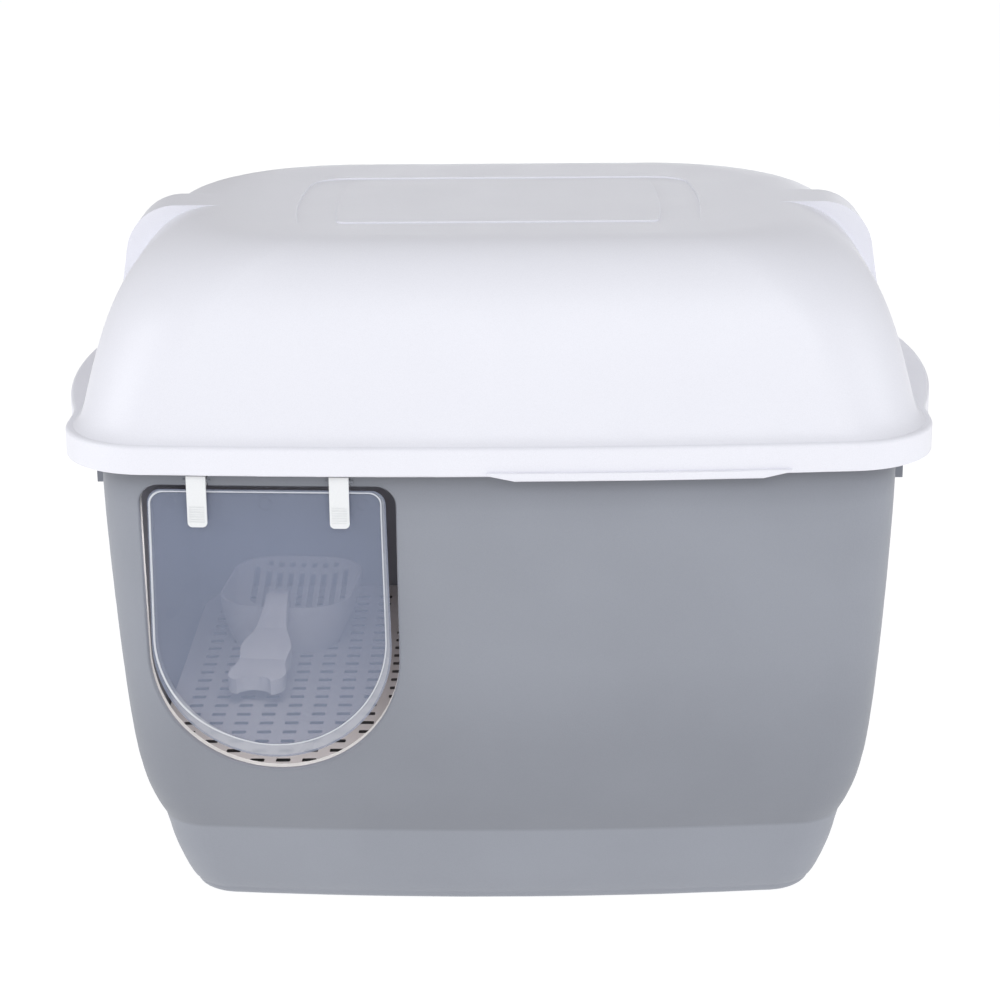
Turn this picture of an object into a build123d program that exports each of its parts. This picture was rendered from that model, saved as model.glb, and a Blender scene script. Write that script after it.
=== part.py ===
from build123d import *
import math
import os

# Front-entry covered litter box: a tapered basin with a U-shaped doorway, a domed
# hood hinged along the rear edge, a see-through hanging flap on two snap clips, a
# perforated entry grate and a litter scoop. Millimetres, +Z up, the doorway side
# faces -Y. The floor is Z = 0 and the overall box is centred on X = 0 and Y = 0.

# ---------------------------------------------------------------- driving sizes
T = 3.0                 # wall of the large mouldings
FRONT_R = 3000.0        # the whole front is bowed a little, on this radius
BASE_R = 1900.0         # and on this radius at the foot of the basin

RIM_HW = 284.0          # hood rim, half width at the front and rear
RIM_HD = 220.0          # hood rim, half depth
RIM_R = 80.0            # hood rim, corner radius at the rear
RIM_CUT = 19.0          # how much smaller the hood's front corners are
RIM_Z0 = 324.0          # lower edge of the rim skirt
RIM_Z1 = 343.0          # top of the rim ledge
BULGE_HW = 300.0        # half width over the two side grips of the rim
BULGE_HD = 118.0        # half length of the side grips, which bow out along an arc
HOOD_TOP = 461.0        # flat top of the hood

BASIN_HW = 260.0        # basin wall, outer half width at the top
BASIN_HD = 211.0        # basin wall, outer half depth at the top
BASIN_R = 44.0          # basin wall, corner radius at the top
BASIN_TOP = 339.2       # top face of the basin flange
STEP_Z = 62.0           # crease between the bowl and the lower band
SIDE = 0.93             # taper of the side walls against that of the front and rear

DOOR_X = -148.2         # doorway centre
DOOR_TURN = 2.82        # the flap hangs along the bowed front there, degrees
DOOR_HW = 82.7          # doorway half width at, and radius of, its round bottom
DOOR_HW_TOP = 82.8      # doorway half width at the top
DOOR_TOP = 314.6
DOOR_CZ = 195.7         # centre height of the round bottom
DOOR_CORNER = 13.0
DOOR_EDGE = 1.3         # rounding of the doorway's outer edge
LINER_IN = 0.1          # how far the pale frame behind the wall stands into the doorway
LINER_OUT = 6.0         # and how far it reaches behind the wall
LINER_T = 5.5
LINER_TOP = 309.6

AXIS_Y = -209.5         # flap hinge axis, runs along X
AXIS_Z = 318.3
BAR_R = 1.6             # moulded hinge bar
CLIP_X = DOOR_X + 1.3   # middle between the clips
CLIP_DX = 45.9          # clips at CLIP_X -/+ this
CLIP_W = 12.6
CLIP_BORE = BAR_R + 0.06

FLAP_X = DOOR_X - 0.1   # flap centre
FLAP_HW = 78.6          # flap half width at, and radius of, its round bottom
FLAP_HW_TOP = 76.6
FLAP_TOP = 313.0
FLAP_CZ = 206.9

HINGE_Y = 226.0         # hood hinge axis, runs along X
HINGE_Z = 331.0
HINGE_X = 150.0         # middle of each hinge
PIN_R = 2.5

GRATE_TOP = 105.5
GRATE_T = 2.0
GRATE_X0, GRATE_X1 = -238.6, -18.0
GRATE_HD = 190.2        # rear edge
GRATE_Y0 = 182.4        # front edge, clear of the bowed wall
SLOT_L, SLOT_W = 9.8, 5.5
SLOT_PX, SLOT_PY = 17.77, 16.25

SCOOP_X, SCOOP_Y = -163.5, 94.0     # middle of the scoop's rim on the grate
SCOOP_TURN = -5.0


# ---------------------------------------------------------------- helpers
def slab(x0, x1, y0, y1, z0, z1):
    return Pos((x0 + x1) / 2, (y0 + y1) / 2, (z0 + z1) / 2) * Box(
        abs(x1 - x0), abs(y1 - y0), abs(z1 - z0))


def bowed(hw, hd, r, cut=0.0, bow=FRONT_R):
    """Rounded rectangle whose front side bows out, with smaller front corners."""
    sag = bow - math.sqrt(bow ** 2 - hw ** 2)
    with BuildSketch() as sk:
        with BuildLine():
            Polyline((hw, -hd + sag), (hw, hd), (-hw, hd), (-hw, -hd + sag))
            ThreePointArc((-hw, -hd + sag), (0, -hd), (hw, -hd + sag))
        make_face()
        fillet([v for v in sk.vertices() if v.Y < 0], r - cut)
        fillet([v for v in sk.vertices() if v.Y > hd - 0.01], r)
    return sk.sketch


def section(z, hw, hd, r, cy=0.0, cut=0.0, bow=FRONT_R):
    return Pos(0, cy, z) * bowed(hw, hd, r, cut, bow)


def tower(rows):
    """Smooth solid through rounded rectangles (z, half width, half depth, radius)."""
    return loft([section(*row[:4], **(row[4] if len(row) > 4 else {})) for row in rows])


def fair(table, heights):
    """Values of a (height, value) table at other heights, on a curve that never
    overshoots the table."""
    z = [row[0] for row in table]
    v = [row[1] for row in table]
    d = [(v[i + 1] - v[i]) / (z[i + 1] - z[i]) for i in range(len(z) - 1)]
    m = [d[0]]
    for i in range(1, len(d)):
        m.append(0.0 if d[i - 1] * d[i] <= 0 else 2 * d[i - 1] * d[i] / (d[i - 1] + d[i]))
    m.append(d[-1])
    out = []
    for h in heights:
        i = min(max(sum(1 for q in z if q <= h) - 1, 0), len(d) - 1)
        w = z[i + 1] - z[i]
        t = (h - z[i]) / w
        out.append((h, (2 * t ** 3 - 3 * t ** 2 + 1) * v[i] + (t ** 3 - 2 * t ** 2 + t) * w * m[i]
                    + (3 * t ** 2 - 2 * t ** 3) * v[i + 1] + (t ** 3 - t ** 2) * w * m[i + 1]))
    return out


def along_x(radius, x0, x1, y, z):
    return Pos((x0 + x1) / 2, y, z) * Rot(0, 90, 0) * Cylinder(radius, abs(x1 - x0))


def along_y(radius, x, y0, y1, z):
    return Pos(x, (y0 + y1) / 2, z) * Rot(90, 0, 0) * Cylinder(radius, abs(y1 - y0))


def prism_x(points, x0, x1):
    """Solid of a (y, z) outline, from x0 to x1."""
    face = Plane.YZ * Polygon(*points, align=None)
    return Pos(x0, 0, 0) * extrude(face, amount=x1 - x0, dir=(1, 0, 0))


def u_shape(hw, hw_top, top, cz, corner):
    """Face, in x and height, of a flat-topped, round-bottomed opening whose sides
    lean in a little towards the top."""
    lean = math.atan2(hw - hw_top, top - cz)
    # The round bottom runs on into the leaning sides.
    px, pz = hw * math.cos(lean), cz + hw * math.sin(lean)
    tx = px - (top - pz) * math.tan(lean)
    with BuildSketch() as sk:
        with BuildLine():
            Polyline((-px, pz), (-tx, top), (tx, top), (px, pz))
            ThreePointArc((px, pz), (0, cz - hw), (-px, pz))
        make_face()
        fillet([v for v in sk.vertices() if v.Y > top - 0.01], corner)
    return sk.sketch


def wall_plane(y):
    """Sketch plane facing -Y whose x is +X and whose y is +Z."""
    return Plane(origin=(0, y, 0), x_dir=(1, 0, 0), z_dir=(0, -1, 0))


def hang(shape):
    """Turns what hangs in the doorway, drawn parallel to X, along the bowed front."""
    back = FRONT_R - math.sqrt(FRONT_R ** 2 - DOOR_X ** 2)
    return Pos(DOOR_X, -BASIN_HD + back, 0) * Rot(0, 0, -DOOR_TURN) * Pos(-DOOR_X, BASIN_HD, 0) * shape


# ---------------------------------------------------------------- basin
# How far the wall stands in from its top edge, by height.
TAPER = [(STEP_Z, 28.4), (66.5, 26.2), (72.0, 23.6), (79.0, 20.9), (87.0, 18.2),
         (98.0, 15.4), (112.0, 12.7), (132.0, 10.1), (162.0, 7.4), (200.0, 4.8),
         (250.0, 2.1), (300.0, 0.3), (BASIN_TOP, 0.0)]
TAPER = fair(TAPER, [STEP_Z, 66.5, 72.0, 79.0, 87.0, 97.0, 109.0, 123.0, 139.0, 157.0, 177.0,
                     199.0, 222.0, 246.0, 270.0, 294.0, 317.0, BASIN_TOP])
BAND = [(6.0, 47.6), (14.0, 42.8), (22.0, 39.6), (31.0, 36.4), (40.0, 33.6),
        (50.0, 31.2), (STEP_Z, 28.4)]


def wall_inset(z):
    rows = sorted(TAPER + BAND)
    for (z0, i0), (z1, i1) in zip(rows, rows[1:]):
        if z0 <= z <= z1 and z1 > z0:
            return i0 + (i1 - i0) * (z - z0) / (z1 - z0)
    return rows[-1][1]


def bow_radius(inset):
    k = min(inset / 47.6, 1.0)
    return 1.0 / ((1 - k) / FRONT_R + k / BASE_R)


def corner(inset):
    return BASIN_R - 0.30 * inset


def wall_rows(rows, t=0.0):
    out = []
    for z, i in rows:
        out.append((z, BASIN_HW - SIDE * i - t, BASIN_HD - i - t, max(corner(i) - t, 12.0),
                    {"bow": bow_radius(i) - t}))
    return out


def front_y(x, z):
    """Outer face of the front wall."""
    bow = bow_radius(wall_inset(z))
    return wall_inset(z) - BASIN_HD + bow - math.sqrt(bow ** 2 - x ** 2)


def basin_outer():
    bowl = tower(wall_rows(TAPER))
    band = tower(wall_rows(BAND))
    foot = tower(wall_rows([(0.0, 52.6), (1.4, 50.2), (3.4, 48.6), (6.0, 47.6)]))
    return bowl + band + foot


def basin_inner():
    rows = [(z, i) for z, i in sorted(set(BAND + TAPER)) if z not in (6.0,)]
    low = [(3.2, 50.5), (6.0, 48.6)] + [r for r in rows if r[0] <= STEP_Z]
    high = [r for r in rows if r[0] >= STEP_Z]
    return tower(wall_rows(low, T)) + tower(wall_rows(high, T))


def door_prism(grow):
    """The doorway, grown by grow on every side, through the whole front wall."""
    face = u_shape(DOOR_HW + grow, DOOR_HW_TOP + grow, DOOR_TOP + grow, DOOR_CZ, DOOR_CORNER + grow)
    return Pos(0, -230, 0) * extrude(wall_plane(0) * (Pos(DOOR_X, 0) * face), amount=-60)


def on_outside(edge):
    """True for an edge that lies in the outer face of the front wall."""
    return all(abs((edge @ t).Y - front_y((edge @ t).X, (edge @ t).Z)) < 1.2 for t in (0.1, 0.5, 0.9))


def make_liner(inner):
    """Flat frame on the inside of the front wall, round the sides and bottom of the
    doorway, whose inner edge stands a little inside the opening."""
    ring = door_prism(LINER_OUT) - door_prism(-LINER_IN)
    liner = (ring & (Pos(0, 0.03, 0) * inner)) - (Pos(0, LINER_T, 0) * inner)
    return liner - slab(DOOR_X - 120, DOOR_X + 120, -240, -150, LINER_TOP, 340.0)


def make_basin():
    outer = basin_outer()
    body = outer - basin_inner()

    # Top flange that the hood sits over; its rear edge stops short of the hinge.
    flange = Pos(0, -1.2, 0) * (
        extrude(section(336.2, 276.0, 214.3, 70.0, 0.0, RIM_CUT), amount=BASIN_TOP - 336.2)
        - extrude(section(330.0, BASIN_HW - 1.5, BASIN_HD - 1.5, BASIN_R - 1.5, 1.2), amount=12))
    body += flange

    # Down-turned grips on both sides, closed at their ends.
    for s in (-1, 1):
        grip = slab(s * 269.2, s * 271.7, -118, 118, 291.0, 337.0)
        for y in (-118.0, 115.5):
            grip += slab(s * 258.2, s * 271.7, y, y + 2.5, 291.0, 337.0)
        for y in (-60.0, 0.0, 60.0):
            grip += slab(s * 258.2, s * 271.0, y - 1, y + 1, 316.0, 337.0)
        body += grip

    # Doorway through the front wall, its outer edge rounded.
    body -= door_prism(0.0)
    edge = [e for e in body.edges() if e.center().Y < -190
            and DOOR_X - DOOR_HW - 1 < e.center().X < DOOR_X + DOOR_HW + 1
            and DOOR_CZ - DOOR_HW - 3 < e.center().Z < DOOR_TOP + 1
            and on_outside(e)]
    body = fillet(edge, DOOR_EDGE)

    # Two notches over the doorway, each bridged by a round hinge bar.
    for s in (-1, 1):
        x = CLIP_X + s * CLIP_DX
        h = CLIP_W / 2 + 0.6
        body -= hang(slab(x - h, x + h, -216, -203, DOOR_TOP - 2, 327.4))
        body += hang(along_x(BAR_R, x - h - 2, x + h + 2, AXIS_Y, AXIS_Z))

    # Ledges that carry the grate on three walls.
    ledge_z = 94.9
    body += slab(-241.0, -230.0, -120, 120, 87.0, ledge_z)
    for s in (-1, 1):
        body += slab(-190.0, -30.0, s * 177.0, s * 196.0, 87.0, ledge_z) & outer

    # Rear hinge brackets, two to each hinge, reaching back under the hood skirt.
    for s in (-1, 1):
        for a, b in ((-30.0, -20.4), (20.4, 30.0)):
            x0, x1 = s * HINGE_X + a, s * HINGE_X + b
            arm = prism_x([(HINGE_Y - 3.5, HINGE_Z), (HINGE_Y - 3.5, 320.6), (209.4, 320.6),
                           (209.4, 292.0), (HINGE_Y + 5.0, 317.0), (HINGE_Y + 5.0, HINGE_Z)], x0, x1)
            arm += along_x(5.0, x0, x1, HINGE_Y, HINGE_Z)
            arm -= along_x(PIN_R + 0.02, x0 - 1, x1 + 1, HINGE_Y, HINGE_Z)
            body += arm
    return body


# ---------------------------------------------------------------- hood
# (height, half width, half depth, corner radius) of the dome, outside.
DOME = [(RIM_Z1, 276.0, 215.0, 75.0), (352.0, 273.0, 210.5, 77.0), (364.0, 270.2, 206.0, 79.0),
        (380.0, 266.4, 200.8, 82.0), (396.0, 261.9, 195.4, 85.0), (412.0, 256.0, 189.4, 87.0),
        (426.0, 249.2, 182.8, 90.0), (438.0, 241.2, 175.2, 94.0), (447.0, 232.8, 167.2, 97.0),
        (454.0, 222.8, 157.6, 99.0), (458.6, 211.4, 146.6, 98.0), (460.6, 200.0, 135.6, 95.0),
        (HOOD_TOP, 192.0, 127.6, 91.0)]


# The foot of the dome flares out softly into the rim.
FLARE = [(342.4, 280.6, 218.4, 77.5), (343.2, 278.6, 216.7, 76.5), (344.4, 276.9, 215.3, 75.8),
         (346.4, 275.2, 213.6, 75.6), (349.0, 273.9, 212.0, 76.2)]


def rim_plan(grow=0.0):
    hw, hd, r = RIM_HW + grow, RIM_HD + grow, RIM_R + grow
    b, bow, yc = BULGE_HD, BULGE_HW + grow, -4.0
    with BuildSketch() as sk:
        add(bowed(hw, hd, r, RIM_CUT, FRONT_R + grow))
        for s in (-1, 1):
            with BuildLine():
                Polyline((s * hw, yc + b), (s * (hw - 20), yc + b), (s * (hw - 20), yc - b), (s * hw, yc - b))
                ThreePointArc((s * hw, yc - b), (s * bow, yc), (s * hw, yc + b))
            make_face()
        meet = [v for v in sk.vertices() if abs(abs(v.X) - hw) < 0.05 and abs(abs(v.Y - yc) - b) < 0.1]
        fillet(meet, 60)
    return sk.sketch


def barrel(hw_end, hw_mid, y0, y1, r_front, r_rear):
    """Panel outline whose sides bow out a little."""
    ym = (y0 + y1) / 2
    with BuildSketch() as sk:
        with BuildLine():
            Line((-hw_end, y0), (hw_end, y0))
            ThreePointArc((hw_end, y0), (hw_mid, ym), (hw_end, y1))
            Line((hw_end, y1), (-hw_end, y1))
            ThreePointArc((-hw_end, y1), (-hw_mid, ym), (-hw_end, y0))
        make_face()
        fillet([v for v in sk.vertices() if v.Y < ym], r_front)
        fillet([v for v in sk.vertices() if v.Y > ym and abs(v.Y - y1) < 0.1], r_rear)
    return sk.sketch


def belt(t=0.0):
    """Squared shoulders of the hood at mid depth, inset by t for the inside."""
    top = HOOD_TOP - t
    hw = 221.0
    r = 259.2 - hw
    arc_mid = (-hw - (r - t) * math.cos(math.radians(48)), 429.0 + (top - 429.0) * math.sin(math.radians(48)))
    with BuildSketch(Plane.XZ) as sk:
        with BuildLine():
            Line((-274.5 + t, 334.0), (-259.2 + t, 429.0))
            ThreePointArc((-259.2 + t, 429.0), arc_mid, (-hw, top))
            Line((-hw, top), (hw, top))
            ThreePointArc((hw, top), (-arc_mid[0], arc_mid[1]), (259.2 - t, 429.0))
            Line((259.2 - t, 429.0), (274.5 - t, 334.0))
            Line((274.5 - t, 334.0), (-274.5 + t, 334.0))
        make_face()
    half = 22.0 - t
    return extrude(sk.sketch, amount=half, both=True)


def make_hood():
    front = {"cut": RIM_CUT}
    dome = tower([row + (front,) for row in FLARE + DOME[1:]])
    k = (HOOD_TOP - T - RIM_Z1) / (HOOD_TOP - RIM_Z1)
    inner_rows = [(RIM_Z1 + (z - RIM_Z1) * k, a - T, b - T, max(r - T, 10), front) for z, a, b, r in DOME]
    inner = tower(inner_rows)
    inner += extrude(section(RIM_Z1 - 6, 276.0 - T, 215.0 - T, 72.0, 0.0, RIM_CUT), amount=6.0)
    solid = dome + (belt() & slab(-300, 300, -30, 30, RIM_Z1 - 1, HOOD_TOP + 1))
    hollow = inner + (belt(T) & slab(-300, 300, -30, 30, RIM_Z1 - 6, HOOD_TOP + 1))

    skirt = extrude(Pos(0, 0, RIM_Z0) * rim_plan(), amount=RIM_Z1 - RIM_Z0)
    skirt = fillet(skirt.edges().group_by(Axis.Z)[-1], 2.6)
    skirt = fillet(skirt.edges().group_by(Axis.Z)[0], 0.8)
    skirt_in = extrude(Pos(0, 0, RIM_Z0 - 1) * rim_plan(-T), amount=RIM_Z1 - T - RIM_Z0 + 1)

    body = (skirt - skirt_in) + solid - hollow

    # Shallow panel sunk in the top, with a raised field inside it.
    sunk = Pos(0, 0, HOOD_TOP - 1.3) * extrude(barrel(132.5, 139.0, -91.0, 79.5, 10, 26), amount=4)
    field = Pos(0, 0, HOOD_TOP - 1.8) * extrude(barrel(107.6, 111.6, -83.0, 69.0, 6, 14), amount=1.75)
    field = fillet(field.edges().group_by(Axis.Z)[-1], 0.9)
    body = body - sunk
    rim = [e for e in body.edges() if abs(e.center().Z - HOOD_TOP) < 0.01
           and abs(e.center().X) < 141 and -92 < e.center().Y < 81]
    body = fillet(rim, 0.9) + field

    # Finger lip under the front edge.
    lip = Polygon((-7.0, 325.2), (11.0, 321.4), (168.0, 321.4), (186.0, 325.2), (186.0, 327.0),
                  (-7.0, 327.0), align=None)
    lip = Pos(0, -RIM_HD + 30, 0) * extrude(wall_plane(0) * lip, amount=40)
    belt_in, belt_out = (Pos(0, 0, 318) * extrude(rim_plan(g), amount=12) for g in (-2.6, 2.0))
    lip = lip & (belt_out - belt_in)
    face = [e for e in lip.edges() if e.length > 10
            and abs(e.center().Y + RIM_HD + 2.0 - e.center().X ** 2 / 2 / FRONT_R) < 0.4]
    body += fillet(face, 0.7)

    # Rear knuckles, standing off the skirt.
    for s in (-1, 1):
        x0, x1 = s * HINGE_X - 19.8, s * HINGE_X + 19.8
        kn = along_x(5.0, x0, x1, HINGE_Y, HINGE_Z)
        kn += slab(x0, x1, RIM_HD - 1.0, HINGE_Y, HINGE_Z - 4.0, HINGE_Z + 5.0)
        kn -= along_x(PIN_R + 0.06, x0 - 1, x1 + 1, HINGE_Y, HINGE_Z)
        body += kn
    return body


# ---------------------------------------------------------------- hinge pins
def make_pin(s):
    x0, x1 = s * HINGE_X - 31.0, s * HINGE_X + 32.5
    if s < 0:
        x0, x1 = s * HINGE_X - 32.5, s * HINGE_X + 31.0
    pin = along_x(PIN_R, x0, x1, HINGE_Y, HINGE_Z)
    outer = x1 if s > 0 else x0
    pin += along_x(4.2, outer - s * 2.2, outer, HINGE_Y, HINGE_Z)
    return pin


# ---------------------------------------------------------------- entry grate
def make_grate():
    w = GRATE_X1 - GRATE_X0
    cx = (GRATE_X0 + GRATE_X1) / 2
    plan = Pos(cx, (GRATE_HD - GRATE_Y0) / 2) * Rectangle(w, GRATE_HD + GRATE_Y0)
    left = [v for v in plan.vertices() if v.X < cx]
    plan = fillet(left, 46)
    right = [v for v in plan.vertices() if abs(v.X - GRATE_X1) < 0.1]
    plan = fillet(right, 6)
    rim = offset(plan, -2.4, kind=Kind.ARC)
    rim = plan - rim
    slots = [loc for loc in GridLocations(SLOT_PX, SLOT_PY, 13, 23)]
    keep = offset(plan, -9.0, kind=Kind.ARC).face()
    cells = []
    for loc in slots:
        x = cx - 2.4 + loc.position.X
        y = loc.position.Y
        cell = Pos(x, y) * RectangleRounded(SLOT_L, SLOT_W, 1.2)
        corners = [(x + sx * SLOT_L / 2, y + sy * SLOT_W / 2) for sx in (-1, 1) for sy in (-1, 1)]
        if all(keep.is_inside(Vector(px, py, 0)) for px, py in corners):
            cells.append(cell)
    sheet = plan - cells
    plate = extrude(Pos(0, 0, GRATE_TOP - GRATE_T) * sheet, amount=GRATE_T)
    wall = extrude(Pos(0, 0, 95.2) * rim, amount=GRATE_TOP - GRATE_T - 95.2 + 0.5)
    print("grate slots", len(cells))
    return plate + wall


# ---------------------------------------------------------------- flap and clips
# v is the distance behind the hinge axis, h the height above it.
FLOOR_V = -0.35         # front face of the flap's panel
EDGE_V = -3.3           # front edge of its bevelled border
FLAP_T = 1.6
STUD_H = -20.0


def make_flap():
    def outline(inset, inset_top, drop, corner):
        face = u_shape(FLAP_HW - inset, FLAP_HW_TOP - inset_top, FLAP_TOP - inset_top, FLAP_CZ + drop, corner)
        return Pos(FLAP_X, 0) * face

    def frustum(face_out, v_out, face_in, v_in):
        a = Pos(0, AXIS_Y + v_out, 0) * (wall_plane(0) * face_out)
        b = Pos(0, AXIS_Y + v_in, 0) * (wall_plane(0) * face_in)
        return loft([a.face(), b.face()], ruled=True)

    back = FLOOR_V + FLAP_T
    outer = frustum(outline(0, 0, 0, 9), EDGE_V, outline(2.6, 1.9, 3.0, 7.0), back)
    hollow = frustum(outline(1.2, 1.0, 0.2, 8), EDGE_V - 0.001, outline(3.7, 2.9, 3.9, 6.2), FLOOR_V)
    flap = outer - hollow
    for s in (-1, 1):
        flap -= along_y(1.8, CLIP_X + s * CLIP_DX, AXIS_Y - 4, AXIS_Y + 4, AXIS_Z + STUD_H)
    # Round gate marks near the top edge.
    for x, r in ((-1.0, 4.4), (-62.0, 4.0), (62.0, 4.0)):
        mark = along_y(r, FLAP_X + x, AXIS_Y + FLOOR_V - 0.1, AXIS_Y + FLOOR_V + 0.3, 302.8)
        mark -= along_y(r - 0.6, FLAP_X + x, AXIS_Y + FLOOR_V - 1, AXIS_Y + FLOOR_V + 1, 302.8)
        flap -= mark
    return flap


def make_clip(s):
    x = CLIP_X + s * CLIP_DX
    w = CLIP_W / 2
    v0, v1 = -5.2, -3.4
    strap = Pos(x, AXIS_Y + (v0 + v1) / 2, AXIS_Z + (4.0 - 30.2) / 2) * Box(CLIP_W, v1 - v0, 34.2)
    low = strap.edges().filter_by(Axis.Y).group_by(Axis.Z)[0]
    strap = fillet(low, 3.0)
    web = slab(x - w, x + w, AXIS_Y - 4.4, AXIS_Y - 1.0, AXIS_Z - 2.6, AXIS_Z + 2.6)
    clip = strap + web + along_x(3.4, x - w, x + w, AXIS_Y, AXIS_Z)
    clip -= along_x(CLIP_BORE, x - w - 1, x + w + 1, AXIS_Y, AXIS_Z)
    mouth = Pos(x, AXIS_Y, AXIS_Z) * Rot(-45, 0, 0) * (Pos(0, 3.0, 0) * Box(CLIP_W + 2, 6.0, 2.3))
    clip -= mouth
    h = AXIS_Z + STUD_H
    clip += along_y(3.2, x, AXIS_Y - 4.0, AXIS_Y + FLOOR_V, h)
    clip += along_y(1.75, x, AXIS_Y - 4.0, AXIS_Y + FLOOR_V + FLAP_T + 0.6, h)
    clip += along_y(2.8, x, AXIS_Y + FLOOR_V + FLAP_T, AXIS_Y + FLOOR_V + FLAP_T + 1.2, h)
    for k in range(7):
        z = AXIS_Z - 16.6 - 1.65 * k
        clip -= slab(x - w + 1.4, x + w - 1.4, AXIS_Y + v0 - 1, AXIS_Y + v0 + 0.5, z - 0.45, z + 0.45)
    return clip


# ---------------------------------------------------------------- scoop
def make_scoop():
    """Built about its own middle, +Y towards the lip, floor at z = 0."""
    H = 38.0

    def head(t, z0, z1):
        low = Pos(0, -23, z0) * RectangleRounded(78 - 2 * t, 64 - 2 * t, 26 - t)
        mid = Pos(0, -13, z0 + (z1 - z0) * 0.42) * RectangleRounded(94 - 2 * t, 88 - 2 * t, 31 - t)
        top = Pos(0, 0, z1) * RectangleRounded(101 - 2 * t, 119 - 2 * t, 34 - t)
        return loft([low, mid, top])

    bowl = head(0, 0, H) - head(2.0, 2.0, H + 0.01)
    for i in range(9):
        x = -35.2 + 8.8 * i
        for y0, y1 in ((16.0, 46.5), (49.5, 54.5)):
            bowl -= slab(x - 2.2, x + 2.2, y0, y1, -5, H - 2.5)

    # Handle: a post on the near wall and a thick grip with a forked end.
    with BuildSketch(Plane.XY) as grip:
        with BuildLine():
            Spline([(-8.2, -52), (-9, -74), (-13, -95), (-18.6, -112), (-17.2, -125),
                    (-18.4, -136), (-20.6, -146), (-19, -157), (-12.5, -163)])
            Spline([(-12.5, -163), (-8, -157), (0, -154.5), (8, -157), (12.5, -163)])
            Spline([(12.5, -163), (19, -157), (20.6, -146), (18.4, -136), (17.2, -125),
                    (18.6, -112), (13, -95), (9, -74), (8.2, -52)])
            Line((8.2, -52), (-8.2, -52))
        make_face()
    side = Polygon((-170, 9.5), (-150, 9.5), (-112, 13), (-80, 22), (-50, 32), (-50, 50), (-62, 50),
                   (-70, 44.5), (-90, 33), (-118, 25.5), (-126, 22.5), (-150, 20.5), (-170, 20.5),
                   align=None)
    bar = extrude(grip.sketch, amount=60) & (Pos(-40, 0, 0) * extrude(Plane.YZ * side, amount=80, dir=(1, 0, 0)))
    post = Pos(0, -55.5, 37.5) * Box(16.2, 8.6, 25)
    post = fillet(post.edges().filter_by(Axis.Y).group_by(Axis.Z)[-1], 4.0)
    return bowl + bar + post


# ---------------------------------------------------------------- assembly
parts = {
    "basin": make_basin(),
    "doorway_frame": make_liner(basin_inner()),
    "hood_lid": make_hood(),
    "lid_hinge_pin_left": make_pin(-1),
    "lid_hinge_pin_right": make_pin(1),
    "entry_grate": make_grate(),
    "door_flap": hang(make_flap()),
    "flap_clip_left": hang(make_clip(-1)),
    "flap_clip_right": hang(make_clip(1)),
    "litter_scoop": Pos(SCOOP_X, SCOOP_Y, GRATE_TOP + 0.3) * Rot(0, 0, SCOOP_TURN) * make_scoop(),
}

boxes = [p.bounding_box() for p in parts.values()]
y_low = min(b.min.Y for b in boxes)
y_high = max(b.max.Y for b in boxes)
SHIFT_Y = -(y_low + y_high) / 2
print("shift in y", round(SHIFT_Y, 4), "size y", round(y_high - y_low, 3))

hung = ["door_flap", "flap_clip_left", "flap_clip_right"]
volume = sum(parts[n].volume for n in hung)
middle = sum((parts[n].center(CenterOf.MASS) * parts[n].volume for n in hung), Vector(0, 0, 0)) / volume
on_axis = hang(Pos(DOOR_X, AXIS_Y, AXIS_Z) * Sphere(0.5)).center()
behind = (middle.Y - on_axis.Y) * math.cos(math.radians(DOOR_TURN)) \
    + (middle.X - on_axis.X) * math.sin(math.radians(DOOR_TURN))
print("flap axis", [round(c, 3) for c in (on_axis.X, on_axis.Y + SHIFT_Y, on_axis.Z)],
      "centre of mass behind it", round(behind, 3), "below", round(AXIS_Z - middle.Z, 2))

os.makedirs("parts", exist_ok=True)
for name, shape in parts.items():
    shape = Pos(0, SHIFT_Y, 0) * shape
    solids = shape.solids()
    out = solids[0] if len(solids) == 1 else Compound(children=solids)
    out.label = name
    export_step(out, f"parts/{name}.step")
    print(name, len(solids), "solid(s)")
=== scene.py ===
import math

import bmesh
import bpy
import numpy as np
from mathutils import Matrix, Vector


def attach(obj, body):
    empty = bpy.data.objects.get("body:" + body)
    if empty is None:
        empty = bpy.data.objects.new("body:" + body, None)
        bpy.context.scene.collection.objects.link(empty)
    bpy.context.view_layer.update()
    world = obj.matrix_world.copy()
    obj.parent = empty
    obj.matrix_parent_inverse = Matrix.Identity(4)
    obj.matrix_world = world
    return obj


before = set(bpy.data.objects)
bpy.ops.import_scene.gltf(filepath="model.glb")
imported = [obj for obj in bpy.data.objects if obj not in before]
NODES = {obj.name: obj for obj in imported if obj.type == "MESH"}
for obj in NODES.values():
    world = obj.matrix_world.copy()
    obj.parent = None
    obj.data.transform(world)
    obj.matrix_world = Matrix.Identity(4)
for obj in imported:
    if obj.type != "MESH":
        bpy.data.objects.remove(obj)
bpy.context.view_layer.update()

SCENE = bpy.context.scene


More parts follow.
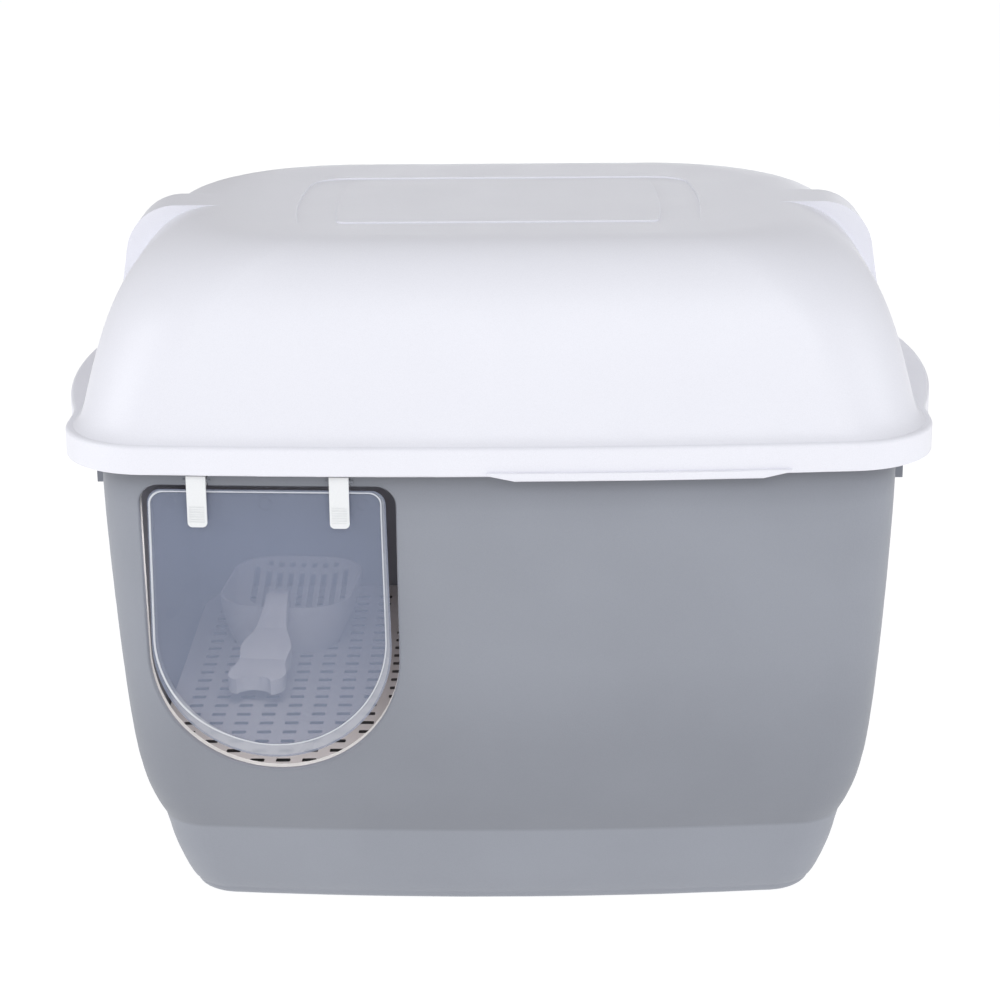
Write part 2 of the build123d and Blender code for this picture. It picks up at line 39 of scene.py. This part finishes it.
# ------------------------------------------------------------------ node helpers
class Tree:
    """Small helper that builds a material's node tree."""

    def __init__(self, name):
        self.mat = bpy.data.materials.new(name)
        self.mat.use_nodes = True
        self.t = self.mat.node_tree
        self.bsdf = self.t.nodes["Principled BSDF"]
        self.out = self.t.nodes["Material Output"]
        self.coord = None

    def node(self, kind, **values):
        n = self.t.nodes.new(kind)
        for key, value in values.items():
            if hasattr(n, key):
                setattr(n, key, value)
            else:
                n.inputs[key].default_value = value
        return n

    def link(self, a, b):
        self.t.links.new(a, b)

    def place(self):
        """Object coordinates, in metres."""
        if self.coord is None:
            self.coord = self.node("ShaderNodeTexCoord").outputs["Object"]
        return self.coord

    def noise(self, scale, detail=2.0, rough=0.5, distortion=0.0, vector=None):
        n = self.node("ShaderNodeTexNoise")
        n.inputs["Scale"].default_value = scale
        n.inputs["Detail"].default_value = detail
        n.inputs["Roughness"].default_value = rough
        n.inputs["Distortion"].default_value = distortion
        self.link(vector or self.place(), n.inputs["Vector"])
        return n.outputs["Fac"]

    def ramp(self, fac, stops):
        r = self.node("ShaderNodeValToRGB")
        e = r.color_ramp.elements
        while len(e) < len(stops):
            e.new(0.5)
        for el, (pos, value) in zip(e, stops):
            el.position = pos
            el.color = tuple(value) + (1.0,) if hasattr(value, "__len__") else (value, value, value, 1.0)
        self.link(fac, r.inputs["Fac"])
        return r.outputs["Color"]

    def remap(self, fac, a, b, lo=0.0, hi=1.0):
        m = self.node("ShaderNodeMapRange")
        m.inputs["From Min"].default_value = lo
        m.inputs["From Max"].default_value = hi
        m.inputs["To Min"].default_value = a
        m.inputs["To Max"].default_value = b
        self.link(fac, m.inputs["Value"])
        return m.outputs["Result"]

    def math(self, op, a, b=None, clamp=False):
        m = self.node("ShaderNodeMath")
        m.operation = op
        m.use_clamp = clamp
        for i, v in enumerate((a, b)):
            if v is None:
                continue
            if isinstance(v, (int, float)):
                m.inputs[i].default_value = v
            else:
                self.link(v, m.inputs[i])
        return m.outputs[0]

    def mix(self, fac, a, b, mode="MIX"):
        m = self.node("ShaderNodeMix")
        m.data_type = "RGBA"
        m.blend_type = mode
        if isinstance(fac, (int, float)):
            m.inputs[0].default_value = fac
        else:
            self.link(fac, m.inputs[0])
        for i, v in ((6, a), (7, b)):
            if isinstance(v, tuple):
                m.inputs[i].default_value = v if len(v) == 4 else v + (1.0,)
            else:
                self.link(v, m.inputs[i])
        return m.outputs[2]

    def bump(self, height, distance, strength=1.0, normal=None):
        b = self.node("ShaderNodeBump")
        b.inputs["Distance"].default_value = distance
        b.inputs["Strength"].default_value = strength
        self.link(height, b.inputs["Height"])
        if normal is not None:
            self.link(normal, b.inputs["Normal"])
        return b.outputs["Normal"]


def moulded(name, colour, rough, grain=0.00005, grain_scale=1400.0, mottle=0.03, ior=1.48, scuff=0.05,
            shade_by_height=None, slot_wall_shade=1.0):
    """Injection-moulded plastic: spark-eroded grain, faint flow mottling, light scuffs.
    shade_by_height is a list of (height in metres, colour factor), painted shade by height; wall is the colour
    factor on faces that stand upright inside small slots, painted shade on the slot walls."""
    m = Tree(name)
    p = m.bsdf
    p.inputs["IOR"].default_value = ior
    cloud = m.noise(9.0, 3.0, 0.55)
    fine = m.noise(grain_scale, 2.0, 0.6)
    coarse = m.noise(grain_scale * 0.32, 2.0, 0.5)
    dark = tuple(c * (1.0 - mottle) for c in colour)
    light = tuple(min(c * (1.0 + mottle), 1.0) for c in colour)
    col = m.ramp(cloud, [(0.36, dark), (0.64, light)])
    speck = m.ramp(fine, [(0.30, 0.955), (0.62, 1.0)])
    col = m.mix(1.0, col, speck, "MULTIPLY")
    # Painted shade: the colour is scaled by a factor given by height.
    if shade_by_height:
        split = m.node("ShaderNodeSeparateXYZ")
        m.link(m.place(), split.inputs[0])
        top = shade_by_height[-1][0]
        h = m.remap(split.outputs["Z"], 0.0, 1.0, 0.0, top)
        col = m.mix(1.0, col, m.ramp(h, [(z / top, k) for z, k in shade_by_height]), "MULTIPLY")
    # Painted shade: upright faces inside the slots are darkened.
    if slot_wall_shade < 1.0:
        split = m.node("ShaderNodeSeparateXYZ")
        m.link(m.node("ShaderNodeTexCoord").outputs["Normal"], split.inputs[0])
        upright = m.remap(m.math("ABSOLUTE", split.outputs["Z"]), 1.0, 0.0, 0.25, 0.75)
        # Only in the slots: not on the skirt nor along the front edge.
        spot = m.node("ShaderNodeSeparateXYZ")
        m.link(m.place(), spot.inputs[0])
        in_plate = m.math("GREATER_THAN", spot.outputs["Z"], 0.10345)
        inside = m.math("GREATER_THAN", spot.outputs["Y"], -0.1862)
        upright = m.math("MULTIPLY", m.math("MULTIPLY", upright, in_plate), inside)
        col = m.mix(1.0, col, m.ramp(upright, [(0.0, 1.0), (1.0, slot_wall_shade)]), "MULTIPLY")
    m.link(col, p.inputs["Base Color"])
    # Fine scratches run every way; they only change the gloss.
    stretch = m.node("ShaderNodeMapping")
    stretch.inputs["Scale"].default_value = (1.0, 1.0, 14.0)
    stretch.inputs["Rotation"].default_value = (0.35, 0.9, 0.4)
    m.link(m.place(), stretch.inputs["Vector"])
    hair = m.noise(70.0, 4.0, 0.7, 0.4, stretch.outputs["Vector"])
    hair = m.ramp(hair, [(0.57, 0.0), (0.66, 1.0)])
    r = m.remap(m.noise(26.0, 3.0, 0.6), rough - 0.035, rough + 0.045, 0.3, 0.7)
    r = m.math("ADD", r, m.math("MULTIPLY", hair, scuff))
    m.link(r, p.inputs["Roughness"])
    n = m.bump(fine, grain, 0.8)
    n = m.bump(coarse, grain * 2.0, 0.5, n)
    m.link(n, p.inputs["Normal"])
    return m


MATS = {}
# Painted shade by height on the tub: darker above the crease at 0.063 m, lightening up to 0.24 m, darker under
# the rim from 0.298 m up, and a little darker towards the bottom.
MATS["tub"] = moulded("tub_grey_plastic", (0.303, 0.319, 0.365), 0.46, 0.00006, 1500.0, 0.022,
                      shade_by_height=[(0.0, 0.97), (0.030, 1.0), (0.0605, 1.0), (0.0630, 0.785), (0.076, 0.79),
                                 (0.100, 0.83), (0.130, 0.85), (0.190, 0.965), (0.240, 1.0), (0.285, 1.0),
                                 (0.298, 0.97), (0.308, 0.87), (0.316, 0.76), (0.345, 0.76)])
MATS["lid"] = moulded("lid_white_plastic", (0.87, 0.87, 0.93), 0.40, 0.00004, 1700.0, 0.006, scuff=0.03)
MATS["liner"] = moulded("liner_cream_plastic", (0.80, 0.805, 0.79), 0.34, 0.00002, 1500.0, 0.012)
MATS["pin"] = moulded("pin_white_plastic", (0.78, 0.78, 0.80), 0.34, 0.00002, 1500.0, 0.012)
# The slot walls are darkened: painted shade.
MATS["grate"] = moulded("grate_cream_plastic", (0.60, 0.585, 0.585), 0.42, 0.00004, 1500.0, 0.02, slot_wall_shade=0.16)
MATS["clip"] = moulded("clip_white_plastic", (0.86, 0.87, 0.88), 0.30, 0.00001, 1500.0, 0.008)


def translucent(name, colour, rough, alpha, grain, edge=None, edge_alpha=None, thin=None):
    """Clear or natural plastic: hazy body, clearer through flat faces; bevelled borders, whose normals turn
    away from the panel, are given a lighter colour, a painted highlight. thin is (y0, y1, alpha): past y0 to y1
    the walls are thin and let more light through."""
    m = Tree(name)
    p = m.bsdf
    cloud = m.noise(11.0, 2.0, 0.5)
    fine = m.noise(900.0, 2.0, 0.6)
    lo = tuple(c * 0.98 for c in colour)
    hi = tuple(min(1.0, c * 1.02) for c in colour)
    col = m.ramp(cloud, [(0.35, lo), (0.65, hi)])
    a = m.remap(cloud, alpha - 0.008, alpha + 0.008, 0.35, 0.65)
    if thin is not None:
        along = m.node("ShaderNodeSeparateXYZ")
        m.link(m.place(), along.inputs[0])
        a = m.math("ADD", a, m.remap(along.outputs["Y"], 0.0, thin[2] - alpha, thin[0], thin[1]))
    # Painted highlight: borders whose normals turn away from the panel get the lighter border colour.
    if edge is not None:
        n = m.node("ShaderNodeTexCoord").outputs["Normal"]
        split = m.node("ShaderNodeSeparateXYZ")
        m.link(n, split.inputs[0])
        facing = m.math("ABSOLUTE", split.outputs["Y"])
        border = m.remap(facing, 1.0, 0.0, 0.90, 0.985)
        # The painted highlight is kept off the left border, which stays clear: only its bead shows.
        spot = m.node("ShaderNodeSeparateXYZ")
        m.link(m.place(), spot.inputs[0])
        border = m.math("MULTIPLY", border, m.remap(spot.outputs["X"], 0.25, 1.0, -0.2205, -0.2050))
        col = m.mix(border, col, edge)
        a = m.math("ADD", a, m.math("MULTIPLY", border, edge_alpha - alpha), clamp=True)
    m.link(col, p.inputs["Base Color"])
    m.link(a, p.inputs["Alpha"])
    m.link(m.remap(m.noise(40.0, 3.0, 0.6), rough - 0.03, rough + 0.04, 0.3, 0.7), p.inputs["Roughness"])
    m.link(m.bump(fine, grain, 0.35), p.inputs["Normal"])
    p.inputs["IOR"].default_value = 1.49
    return m


# The second colour is the border's painted highlight.
MATS["flap"] = translucent("flap_clear_plastic", (0.285, 0.325, 0.44), 0.25, 0.445, 0.000003,
                           (0.52, 0.54, 0.60), 0.56)
# Near-white bead colour: painted highlight along the flap's border.
MATS["bead"] = translucent("flap_highlight_bead_plastic", (0.84, 0.86, 0.90), 0.18, 0.70, 0.00001)
MATS["scoop"] = translucent("scoop_natural_plastic", (0.93, 0.93, 0.945), 0.33, 0.97, 0.00002, thin=(0.018, 0.034, 0.54))

USED = {
    "basin": "tub", "doorway_frame": "liner", "hood_lid": "lid", "lid_hinge_pin_left": "pin",
    "lid_hinge_pin_right": "pin", "entry_grate": "grate", "door_flap": "flap",
    "flap_clip_left": "clip", "flap_clip_right": "clip", "litter_scoop": "scoop",
}
for name, key in USED.items():
    obj = NODES[name]
    obj.data.materials.clear()
    obj.data.materials.append(MATS[key].mat)


# ------------------------------------------------------------------ flap bead, a painted highlight
# Sizes of the flap, in metres, as the model has them.
FLAP_X, FLAP_CZ, FLAP_TOP = -0.1483, 0.2069, 0.3130
FLAP_HW, FLAP_HW_TOP = 0.0786, 0.0766
AXIS_Y, BASIN_HD, DOOR_X = -0.2095, 0.211, -0.1482
FRONT_R, DOOR_TURN, SHIFT_Y = 3.0, math.radians(2.82), -0.0045


def u_contour(hw, hw_top, top, cz, corner, n=90):
    """Closed outline, in x and height, of the flat-topped and round-bottomed flap."""
    lean = math.atan2(hw - hw_top, top - cz)
    px, pz = hw * math.cos(lean), cz + hw * math.sin(lean)
    tx = px - (top - pz) * math.tan(lean)
    pts = []
    for i in range(n + 1):
        a = lean - (math.pi + 2 * lean) * i / n
        pts.append((hw * math.cos(a), cz + hw * math.sin(a)))
    for i in range(1, 12):
        f = i / 12
        pts.append((-px + (px - tx) * f, pz + (top - corner - pz) * f))
    c = (-tx + corner - 0.0002, top - corner)
    for i in range(0, 13):
        a = math.pi - math.pi / 2 * i / 12
        pts.append((c[0] + corner * math.cos(a), c[1] + corner * math.sin(a)))
    for i in range(1, 16):
        f = i / 16
        pts.append((c[0] + (-2 * c[0]) * f, top))
    for i in range(0, 13):
        a = math.pi / 2 - math.pi / 2 * i / 12
        pts.append((-c[0] + corner * math.cos(a), c[1] + corner * math.sin(a)))
    for i in range(1, 12):
        f = i / 12
        pts.append((tx + (px - tx) * f, top - corner - (top - corner - pz) * f))
    return pts


def hung(x, y, z):
    """A point drawn parallel to X, turned along the bowed front as the flap is."""
    back = FRONT_R - math.sqrt(FRONT_R ** 2 - DOOR_X ** 2)
    dx, dy = x - DOOR_X, y + BASIN_HD
    c, s = math.cos(-DOOR_TURN), math.sin(-DOOR_TURN)
    return (DOOR_X + c * dx - s * dy, -BASIN_HD + back + s * dx + c * dy + SHIFT_Y, z)


def bead():
    """Thin light-coloured bead along the foot of the flap's bevelled border, which stands in for the highlight
    there: a painted highlight.
    """
    # It climbs the bevel to the outer edge along the left side and the top.
    path = u_contour(FLAP_HW - 0.0038, FLAP_HW_TOP - 0.0032, FLAP_TOP - 0.0016, FLAP_CZ + 0.0036, 0.0078)
    sides = 10
    n = len(path)
    bm = bmesh.new()
    rings = []
    for i, (x, z) in enumerate(path):
        ax, az = path[i - 1]
        bx, bz = path[(i + 1) % n]
        tx, tz = bx - ax, bz - az
        k = math.hypot(tx, tz)
        nx, nz = -tz / k, tx / k
        left = min(max((-x / max(math.hypot(x, min(z - FLAP_CZ, 0.0)), 1e-6) - 0.25) / 0.6, 0.0), 1.0)
        if z > FLAP_TOP - 0.012:
            left *= min(max((-x - 0.060) / 0.012, 0.0), 1.0)
        left = left * left * (3 - 2 * left)
        top = min(max((z - FLAP_TOP + 0.012) / 0.009, 0.0), 1.0)
        r = 0.0005 + 0.00022 * left
        px, pz = x - 0.0022 * left * (1 - 0.4 * top), z
        depth = -0.00075 - 0.0022 * max(left, 0.85 * top)
        ring = []
        for j in range(sides):
            a = 2 * math.pi * j / sides
            u, v = r * math.cos(a), r * 0.8 * math.sin(a)
            ring.append(bm.verts.new(hung(FLAP_X + px + nx * u, AXIS_Y + depth + v, pz + nz * u)))
        rings.append(ring)
    for i in range(n):
        a, b = rings[i], rings[(i + 1) % n]
        for j in range(sides):
            k = (j + 1) % sides
            bm.faces.new((a[j], a[k], b[k], b[j]))
    bmesh.ops.recalc_face_normals(bm, faces=bm.faces)
    for f in bm.faces:
        f.smooth = True
    me = bpy.data.meshes.new("flap_highlight_bead")
    bm.to_mesh(me)
    bm.free()
    o = bpy.data.objects.new("flap_highlight_bead", me)
    SCENE.collection.objects.link(o)
    me.materials.append(MATS["bead"].mat)
    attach(o, "flap")
    return o


bead()


# ------------------------------------------------------------------ stage, light, camera
def floor():
    me = bpy.data.meshes.new("floor")
    s = 9.0
    me.from_pydata([(-s, -s, 0), (s, -s, 0), (s, s, 0), (-s, s, 0)], [], [(0, 1, 2, 3)])
    o = bpy.data.objects.new("floor", me)
    SCENE.collection.objects.link(o)
    o.location.z = -0.0004
    m = Tree("floor_white")
    p = m.bsdf
    m.link(m.ramp(m.noise(3.0, 2.0), [(0.3, 0.30), (0.7, 0.31)]), p.inputs["Base Color"])
    p.inputs["Roughness"].default_value = 0.9
    p.inputs["Specular IOR Level"].default_value = 0.1
    p.inputs["Emission Color"].default_value = (1.0, 1.0, 1.0, 1.0)
    p.inputs["Emission Strength"].default_value = 0.86
    me.materials.append(m.mat)
    return o


floor()


def backdrop():
    """Plain white surround, seen by the camera only, so that low views have no horizon."""
    bm = bmesh.new()
    bmesh.ops.create_icosphere(bm, subdivisions=3, radius=32.0)
    me = bpy.data.meshes.new("backdrop")
    bm.to_mesh(me)
    bm.free()
    o = bpy.data.objects.new("backdrop", me)
    SCENE.collection.objects.link(o)
    m = Tree("backdrop_white")
    em = m.node("ShaderNodeEmission")
    em.inputs["Strength"].default_value = 1.15
    m.link(em.outputs[0], m.out.inputs["Surface"])
    me.materials.append(m.mat)
    o.visible_diffuse = False
    o.visible_glossy = False
    o.visible_transmission = False
    o.visible_volume_scatter = False
    o.visible_shadow = False


backdrop()

world = bpy.data.worlds.new("studio")
SCENE.world = world
world.use_nodes = True
world.node_tree.nodes["Background"].inputs["Color"].default_value = (1.0, 0.99, 0.985, 1.0)
world.node_tree.nodes["Background"].inputs["Strength"].default_value = 0.46


def area(name, loc, target, size, power, size_y=None, colour=(1, 1, 1)):
    light = bpy.data.lights.new(name, "AREA")
    light.energy = power
    light.size = size
    light.color = colour
    if size_y:
        light.shape = "RECTANGLE"
        light.size_y = size_y
    o = bpy.data.objects.new(name, light)
    SCENE.collection.objects.link(o)
    o.location = loc
    o.rotation_euler = (Vector(target) - Vector(loc)).to_track_quat("-Z", "Y").to_euler()
    return o


COOL = (0.94, 0.965, 1.0)
area("key", (0.35, -2.6, 2.1), (0, 0, 0.2), 2.2, 27.0, 1.3, COOL)
area("fill_left", (-2.1, -0.7, 1.1), (-0.1, 0, 0.35), 1.2, 12.5, 1.2, COOL)
area("fill_right", (2.2, -0.7, 1.1), (0.1, 0, 0.35), 1.2, 8.0, 1.2, (0.92, 0.96, 1.0))
area("top", (0.0, 0.3, 2.6), (0, 0, 0.4), 1.6, 0.4, 1.6)
area("rear", (0.4, 2.8, 0.62), (0, 0, 0.3), 1.8, 6.0, 0.9, COOL)
# The white lid lets light through just behind the doorway: a small soft source
# under its front stands for it.
glow = area("through_lid", (-0.147, -0.163, 0.305), (-0.147, -0.150, 0.0), 0.15, 0.255, 0.03, (1.0, 0.93, 0.91))
glow.visible_camera = False
glow.visible_glossy = False
dome = area("under_lid", (0.0, 0.0, 0.44), (0.0, 0.0, 0.0), 0.38, 0.05, 0.22, (1.0, 0.80, 0.84))
dome.visible_camera = False
dome.visible_glossy = False

cam_data = bpy.data.cameras.new("camera")
cam = bpy.data.objects.new("camera", cam_data)
SCENE.collection.objects.link(cam)
cam_data.lens = 90.0
cam_data.sensor_width = 36.0
cam_data.clip_start = 0.05
cam_data.clip_end = 60.0
turn = (Matrix.Rotation(math.radians(0.63), 4, "Z") @ Matrix.Rotation(math.radians(90.0 - 17.7), 4, "X")
        @ Matrix.Rotation(math.radians(-0.5), 4, "Z"))
cam.matrix_world = Matrix.Translation((0.018, -1.7345, 0.7909)) @ turn
SCENE.camera = cam

SCENE.view_settings.view_transform = "Standard"
SCENE.view_settings.look = "None"
